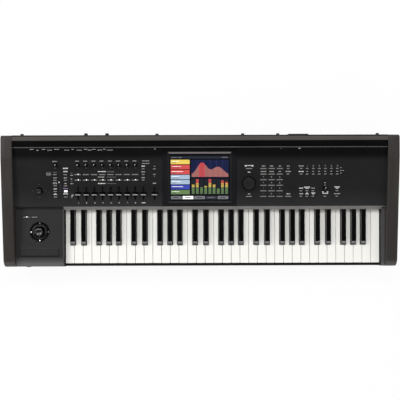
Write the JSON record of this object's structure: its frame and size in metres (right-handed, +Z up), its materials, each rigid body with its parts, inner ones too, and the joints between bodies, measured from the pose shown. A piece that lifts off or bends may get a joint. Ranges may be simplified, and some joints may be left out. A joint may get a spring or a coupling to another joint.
{
  "type": "music workstation",
  "caption": "Stage keyboard workstation with hinged key combs, sloping control panel, touch screen, sliders, knobs, joysticks and end cheeks.",
  "frame": {"origin": "on the floor under the middle of the instrument's bounding box", "axes": "+X along the keyboard to the treble end, +Y to the rear, +Z up"},
  "size_m": [1.048, 0.362, 0.134],
  "materials": {
    "case_black": "fine grain black",
    "chassis_steel": "zinc plated",
    "panel_black": "satin black paint",
    "rail_grey": "satin warm grey",
    "rear_black": "satin black paint",
    "cheek_dark": "dark stained",
    "block_black": "fine grain black",
    "bezel_black": "gloss black",
    "screen_glass": "lit touch screen",
    "board_green": "solder mask",
    "key_white": "polished white",
    "key_black": "satin black",
    "slider_black": "black with a pale line",
    "knob_black": "soft black",
    "dial_black": "soft black",
    "stick_black": "soft black",
    "gimbal_steel": "plain",
    "button_black": "soft black"
  },
  "bodies": {
    "root": {"bottom_case": "case_black", "keybed_chassis": "chassis_steel", "top_panel": "panel_black", "rear_rail": "rail_grey", "jack_panel": "rear_black", "left_cheek": "cheek_dark", "right_cheek": "cheek_dark", "controller_block": "block_black", "display_bezel": "bezel_black", "touch_screen": "screen_glass", "panel_board": "board_green", "main_board": "board_green"},
    "keys_c_e_g_b_1": {"keys_c_e_g_b_1": "key_white"},
    "keys_d_f_a_1": {"keys_d_f_a_1": "key_white"},
    "black_keys_1": {"black_keys_1": "key_black"},
    "keys_c_e_g_b_2": {"keys_c_e_g_b_2": "key_white"},
    "keys_d_f_a_2": {"keys_d_f_a_2": "key_white"},
    "black_keys_2": {"black_keys_2": "key_black"},
    "keys_c_e_g_b_3": {"keys_c_e_g_b_3": "key_white"},
    "keys_d_f_a_3": {"keys_d_f_a_3": "key_white"},
    "black_keys_3": {"black_keys_3": "key_black"},
    "keys_c_e_g_b_4": {"keys_c_e_g_b_4": "key_white"},
    "keys_d_f_a_4": {"keys_d_f_a_4": "key_white"},
    "black_keys_4": {"black_keys_4": "key_black"},
    "keys_c_e_g_b_5": {"keys_c_e_g_b_5": "key_white"},
    "keys_d_f_a_5": {"keys_d_f_a_5": "key_white"},
    "black_keys_5": {"black_keys_5": "key_black"},
    "channel_slider_1": {"channel_slider_1": "slider_black"},
    "channel_slider_2": {"channel_slider_2": "slider_black"},
    "channel_slider_3": {"channel_slider_3": "slider_black"},
    "channel_slider_4": {"channel_slider_4": "slider_black"},
    "channel_slider_5": {"channel_slider_5": "slider_black"},
    "channel_slider_6": {"channel_slider_6": "slider_black"},
    "channel_slider_7": {"channel_slider_7": "slider_black"},
    "channel_slider_8": {"channel_slider_8": "slider_black"},
    "master_slider": {"master_slider": "slider_black"},
    "value_slider": {"value_slider": "slider_black"},
    "volume_knob": {"volume_knob": "knob_black"},
    "control_knob_1": {"control_knob_1": "knob_black"},
    "control_knob_2": {"control_knob_2": "knob_black"},
    "control_knob_3": {"control_knob_3": "knob_black"},
    "control_knob_4": {"control_knob_4": "knob_black"},
    "control_knob_5": {"control_knob_5": "knob_black"},
    "control_knob_6": {"control_knob_6": "knob_black"},
    "control_knob_7": {"control_knob_7": "knob_black"},
    "control_knob_8": {"control_knob_8": "knob_black"},
    "tempo_knob": {"tempo_knob": "knob_black"},
    "value_dial": {"value_dial": "dial_black"},
    "input_level_knob_1": {"input_level_knob_1": "knob_black"},
    "input_level_knob_2": {"input_level_knob_2": "knob_black"},
    "joystick_gimbal": {"joystick_gimbal": "gimbal_steel"},
    "joystick_lever": {"joystick_lever": "stick_black"},
    "vector_gimbal": {"vector_gimbal": "gimbal_steel"},
    "vector_stick": {"vector_stick": "stick_black"},
    "left_function_buttons": {"left_function_buttons": "button_black"},
    "mixer_buttons": {"mixer_buttons": "button_black"},
    "number_keypad": {"number_keypad": "button_black"},
    "sequencer_buttons": {"sequencer_buttons": "button_black"},
    "joystick_buttons": {"joystick_buttons": "button_black"},
    "power_switch": {"power_switch": "knob_black"}
  },
  "joints": [
    {"name": "press_keys_c_e_g_b_1", "type": "hinge", "parent": "root", "child": "keys_c_e_g_b_1", "pos_m": [-0.28075, 0.028, 0.068], "axis": [1, 0, 0], "range_deg": [0, 2.9], "stiffness_Nm_per_rad": 2, "springref_deg": -14.32},
    {"name": "press_keys_d_f_a_1", "type": "hinge", "parent": "root", "child": "keys_d_f_a_1", "pos_m": [-0.28075, 0.02, 0.068], "axis": [1, 0, 0], "range_deg": [0, 3], "stiffness_Nm_per_rad": 2, "springref_deg": -14.32},
    {"name": "press_black_keys_1", "type": "hinge", "parent": "root", "child": "black_keys_1", "pos_m": [-0.28075, 0.012, 0.068], "axis": [1, 0, 0], "range_deg": [0, 3.4], "stiffness_Nm_per_rad": 2, "springref_deg": -14.32},
    {"name": "press_keys_c_e_g_b_2", "type": "hinge", "parent": "root", "child": "keys_c_e_g_b_2", "pos_m": [-0.11625, 0.028, 0.068], "axis": [1, 0, 0], "range_deg": [0, 2.9], "stiffness_Nm_per_rad": 2, "springref_deg": -14.32},
    {"name": "press_keys_d_f_a_2", "type": "hinge", "parent": "root", "child": "keys_d_f_a_2", "pos_m": [-0.11625, 0.02, 0.068], "axis": [1, 0, 0], "range_deg": [0, 3], "stiffness_Nm_per_rad": 2, "springref_deg": -14.32},
    {"name": "press_black_keys_2", "type": "hinge", "parent": "root", "child": "black_keys_2", "pos_m": [-0.11625, 0.012, 0.068], "axis": [1, 0, 0], "range_deg": [0, 3.4], "stiffness_Nm_per_rad": 2, "springref_deg": -14.32},
    {"name": "press_keys_c_e_g_b_3", "type": "hinge", "parent": "root", "child": "keys_c_e_g_b_3", "pos_m": [0.04825, 0.028, 0.068], "axis": [1, 0, 0], "range_deg": [0, 2.9], "stiffness_Nm_per_rad": 2, "springref_deg": -14.32},
    {"name": "press_keys_d_f_a_3", "type": "hinge", "parent": "root", "child": "keys_d_f_a_3", "pos_m": [0.04825, 0.02, 0.068], "axis": [1, 0, 0], "range_deg": [0, 3], "stiffness_Nm_per_rad": 2, "springref_deg": -14.32},
    {"name": "press_black_keys_3", "type": "hinge", "parent": "root", "child": "black_keys_3", "pos_m": [0.04825, 0.012, 0.068], "axis": [1, 0, 0], "range_deg": [0, 3.4], "stiffness_Nm_per_rad": 2, "springref_deg": -14.32},
    {"name": "press_keys_c_e_g_b_4", "type": "hinge", "parent": "root", "child": "keys_c_e_g_b_4", "pos_m": [0.21275, 0.028, 0.068], "axis": [1, 0, 0], "range_deg": [0, 2.9], "stiffness_Nm_per_rad": 2, "springref_deg": -14.32},
    {"name": "press_keys_d_f_a_4", "type": "hinge", "parent": "root", "child": "keys_d_f_a_4", "pos_m": [0.21275, 0.02, 0.068], "axis": [1, 0, 0], "range_deg": [0, 3], "stiffness_Nm_per_rad": 2, "springref_deg": -14.32},
    {"name": "press_black_keys_4", "type": "hinge", "parent": "root", "child": "black_keys_4", "pos_m": [0.21275, 0.012, 0.068], "axis": [1, 0, 0], "range_deg": [0, 3.4], "stiffness_Nm_per_rad": 2, "springref_deg": -14.32},
    {"name": "press_keys_c_e_g_b_5", "type": "hinge", "parent": "root", "child": "keys_c_e_g_b_5", "pos_m": [0.37725, 0.028, 0.068], "axis": [1, 0, 0], "range_deg": [0, 2.9], "stiffness_Nm_per_rad": 2, "springref_deg": -14.32},
    {"name": "press_keys_d_f_a_5", "type": "hinge", "parent": "root", "child": "keys_d_f_a_5", "pos_m": [0.37725, 0.02, 0.068], "axis": [1, 0, 0], "range_deg": [0, 3], "stiffness_Nm_per_rad": 2, "springref_deg": -14.32},
    {"name": "press_black_keys_5", "type": "hinge", "parent": "root", "child": "black_keys_5", "pos_m": [0.37725, 0.012, 0.068], "axis": [1, 0, 0], "range_deg": [0, 3.4], "stiffness_Nm_per_rad": 2, "springref_deg": -14.32},
    {"name": "slide_channel_slider_1", "type": "slide", "parent": "root", "child": "channel_slider_1", "axis": [0, 0.9908, 0.1357], "range_m": [-0.015, 0.015]},
    {"name": "slide_channel_slider_2", "type": "slide", "parent": "root", "child": "channel_slider_2", "axis": [0, 0.9908, 0.1357], "range_m": [-0.015, 0.015]},
    {"name": "slide_channel_slider_3", "type": "slide", "parent": "root", "child": "channel_slider_3", "axis": [0, 0.9908, 0.1357], "range_m": [-0.015, 0.015]},
    {"name": "slide_channel_slider_4", "type": "slide", "parent": "root", "child": "channel_slider_4", "axis": [0, 0.9908, 0.1357], "range_m": [-0.015, 0.015]},
    {"name": "slide_channel_slider_5", "type": "slide", "parent": "root", "child": "channel_slider_5", "axis": [0, 0.9908, 0.1357], "range_m": [-0.015, 0.015]},
    {"name": "slide_channel_slider_6", "type": "slide", "parent": "root", "child": "channel_slider_6", "axis": [0, 0.9908, 0.1357], "range_m": [-0.015, 0.015]},
    {"name": "slide_channel_slider_7", "type": "slide", "parent": "root", "child": "channel_slider_7", "axis": [0, 0.9908, 0.1357], "range_m": [-0.015, 0.015]},
    {"name": "slide_channel_slider_8", "type": "slide", "parent": "root", "child": "channel_slider_8", "axis": [0, 0.9908, 0.1357], "range_m": [-0.015, 0.015]},
    {"name": "slide_master_slider", "type": "slide", "parent": "root", "child": "master_slider", "axis": [0, 0.9908, 0.1357], "range_m": [-0.015, 0.015]},
    {"name": "slide_value_slider", "type": "slide", "parent": "root", "child": "value_slider", "axis": [0, 0.9908, 0.1357], "range_m": [-0.015, 0.015]},
    {"name": "turn_volume_knob", "type": "hinge", "parent": "root", "child": "volume_knob", "pos_m": [-0.3815, 0.0944, 0.12098], "axis": [0, -0.1357, 0.9908], "range_deg": [-150, 150]},
    {"name": "turn_control_knob_1", "type": "hinge", "parent": "root", "child": "control_knob_1", "pos_m": [-0.3236, 0.0944, 0.12098], "axis": [0, -0.1357, 0.9908], "range_deg": [-150, 150]},
    {"name": "turn_control_knob_2", "type": "hinge", "parent": "root", "child": "control_knob_2", "pos_m": [-0.30195, 0.0944, 0.12098], "axis": [0, -0.1357, 0.9908], "range_deg": [-150, 150]},
    {"name": "turn_control_knob_3", "type": "hinge", "parent": "root", "child": "control_knob_3", "pos_m": [-0.2803, 0.0944, 0.12098], "axis": [0, -0.1357, 0.9908], "range_deg": [-150, 150]},
    {"name": "turn_control_knob_4", "type": "hinge", "parent": "root", "child": "control_knob_4", "pos_m": [-0.25865, 0.0944, 0.12098], "axis": [0, -0.1357, 0.9908], "range_deg": [-150, 150]},
    {"name": "turn_control_knob_5", "type": "hinge", "parent": "root", "child": "control_knob_5", "pos_m": [-0.237, 0.0944, 0.12098], "axis": [0, -0.1357, 0.9908], "range_deg": [-150, 150]},
    {"name": "turn_control_knob_6", "type": "hinge", "parent": "root", "child": "control_knob_6", "pos_m": [-0.21535, 0.0944, 0.12098], "axis": [0, -0.1357, 0.9908], "range_deg": [-150, 150]},
    {"name": "turn_control_knob_7", "type": "hinge", "parent": "root", "child": "control_knob_7", "pos_m": [-0.1937, 0.0944, 0.12098], "axis": [0, -0.1357, 0.9908], "range_deg": [-150, 150]},
    {"name": "turn_control_knob_8", "type": "hinge", "parent": "root", "child": "control_knob_8", "pos_m": [-0.17205, 0.0944, 0.12098], "axis": [0, -0.1357, 0.9908], "range_deg": [-150, 150]},
    {"name": "turn_tempo_knob", "type": "hinge", "parent": "root", "child": "tempo_knob", "pos_m": [0.3298, 0.0325, 0.1125], "axis": [0, -0.1357, 0.9908], "range_deg": [-150, 150]},
    {"name": "turn_value_dial", "type": "hinge", "parent": "root", "child": "value_dial", "pos_m": [0.1291, 0.0455, 0.11428], "axis": [0, -0.1357, 0.9908], "continuous": true},
    {"name": "turn_input_level_knob_1", "type": "hinge", "parent": "root", "child": "input_level_knob_1", "pos_m": [-0.306, 0.172, 0.088], "axis": [0, 1, 0], "range_deg": [-150, 150]},
    {"name": "turn_input_level_knob_2", "type": "hinge", "parent": "root", "child": "input_level_knob_2", "pos_m": [-0.2495, 0.172, 0.088], "axis": [0, 1, 0], "range_deg": [-150, 150]},
    {"name": "joystick_tilt_y", "type": "hinge", "parent": "root", "child": "joystick_gimbal", "pos_m": [-0.4297, -0.0832, 0.0755], "axis": [1, 0, 0], "range_deg": [-15, 15], "stiffness_Nm_per_rad": 0.06},
    {"name": "joystick_tilt_x", "type": "hinge", "parent": "joystick_gimbal", "child": "joystick_lever", "pos_m": [-0.4297, -0.0832, 0.0755], "axis": [0, 1, 0], "range_deg": [-15, 15], "stiffness_Nm_per_rad": 0.06},
    {"name": "vector_tilt_y", "type": "hinge", "parent": "root", "child": "vector_gimbal", "pos_m": [-0.427, 0.02799, 0.10078], "axis": [1, 0, 0], "range_deg": [-15, 15]},
    {"name": "vector_tilt_x", "type": "hinge", "parent": "vector_gimbal", "child": "vector_stick", "pos_m": [-0.427, 0.02799, 0.10078], "axis": [0, 0.9908, 0.1357], "range_deg": [-15, 15]},
    {"name": "press_left_function_buttons", "type": "slide", "parent": "root", "child": "left_function_buttons", "axis": [0, 0.1357, -0.9908], "range_m": [0, 0.0008], "stiffness_N_per_m": 1000, "springref_m": -0.001},
    {"name": "press_mixer_buttons", "type": "slide", "parent": "root", "child": "mixer_buttons", "axis": [0, 0.1357, -0.9908], "range_m": [0, 0.0008], "stiffness_N_per_m": 1000, "springref_m": -0.001},
    {"name": "press_number_keypad", "type": "slide", "parent": "root", "child": "number_keypad", "axis": [0, 0.1357, -0.9908], "range_m": [0, 0.0008], "stiffness_N_per_m": 1000, "springref_m": -0.001},
    {"name": "press_sequencer_buttons", "type": "slide", "parent": "root", "child": "sequencer_buttons", "axis": [0, 0.1357, -0.9908], "range_m": [0, 0.0008], "stiffness_N_per_m": 1000, "springref_m": -0.001},
    {"name": "press_joystick_buttons", "type": "slide", "parent": "root", "child": "joystick_buttons", "axis": [0, 0, -1], "range_m": [0, 0.0008], "stiffness_N_per_m": 1000, "springref_m": -0.001},
    {"name": "rock_power_switch", "type": "hinge", "parent": "root", "child": "power_switch", "pos_m": [0.2835, 0.1705, 0.055], "axis": [1, 0, 0], "range_deg": [0, 16]}
  ]
}
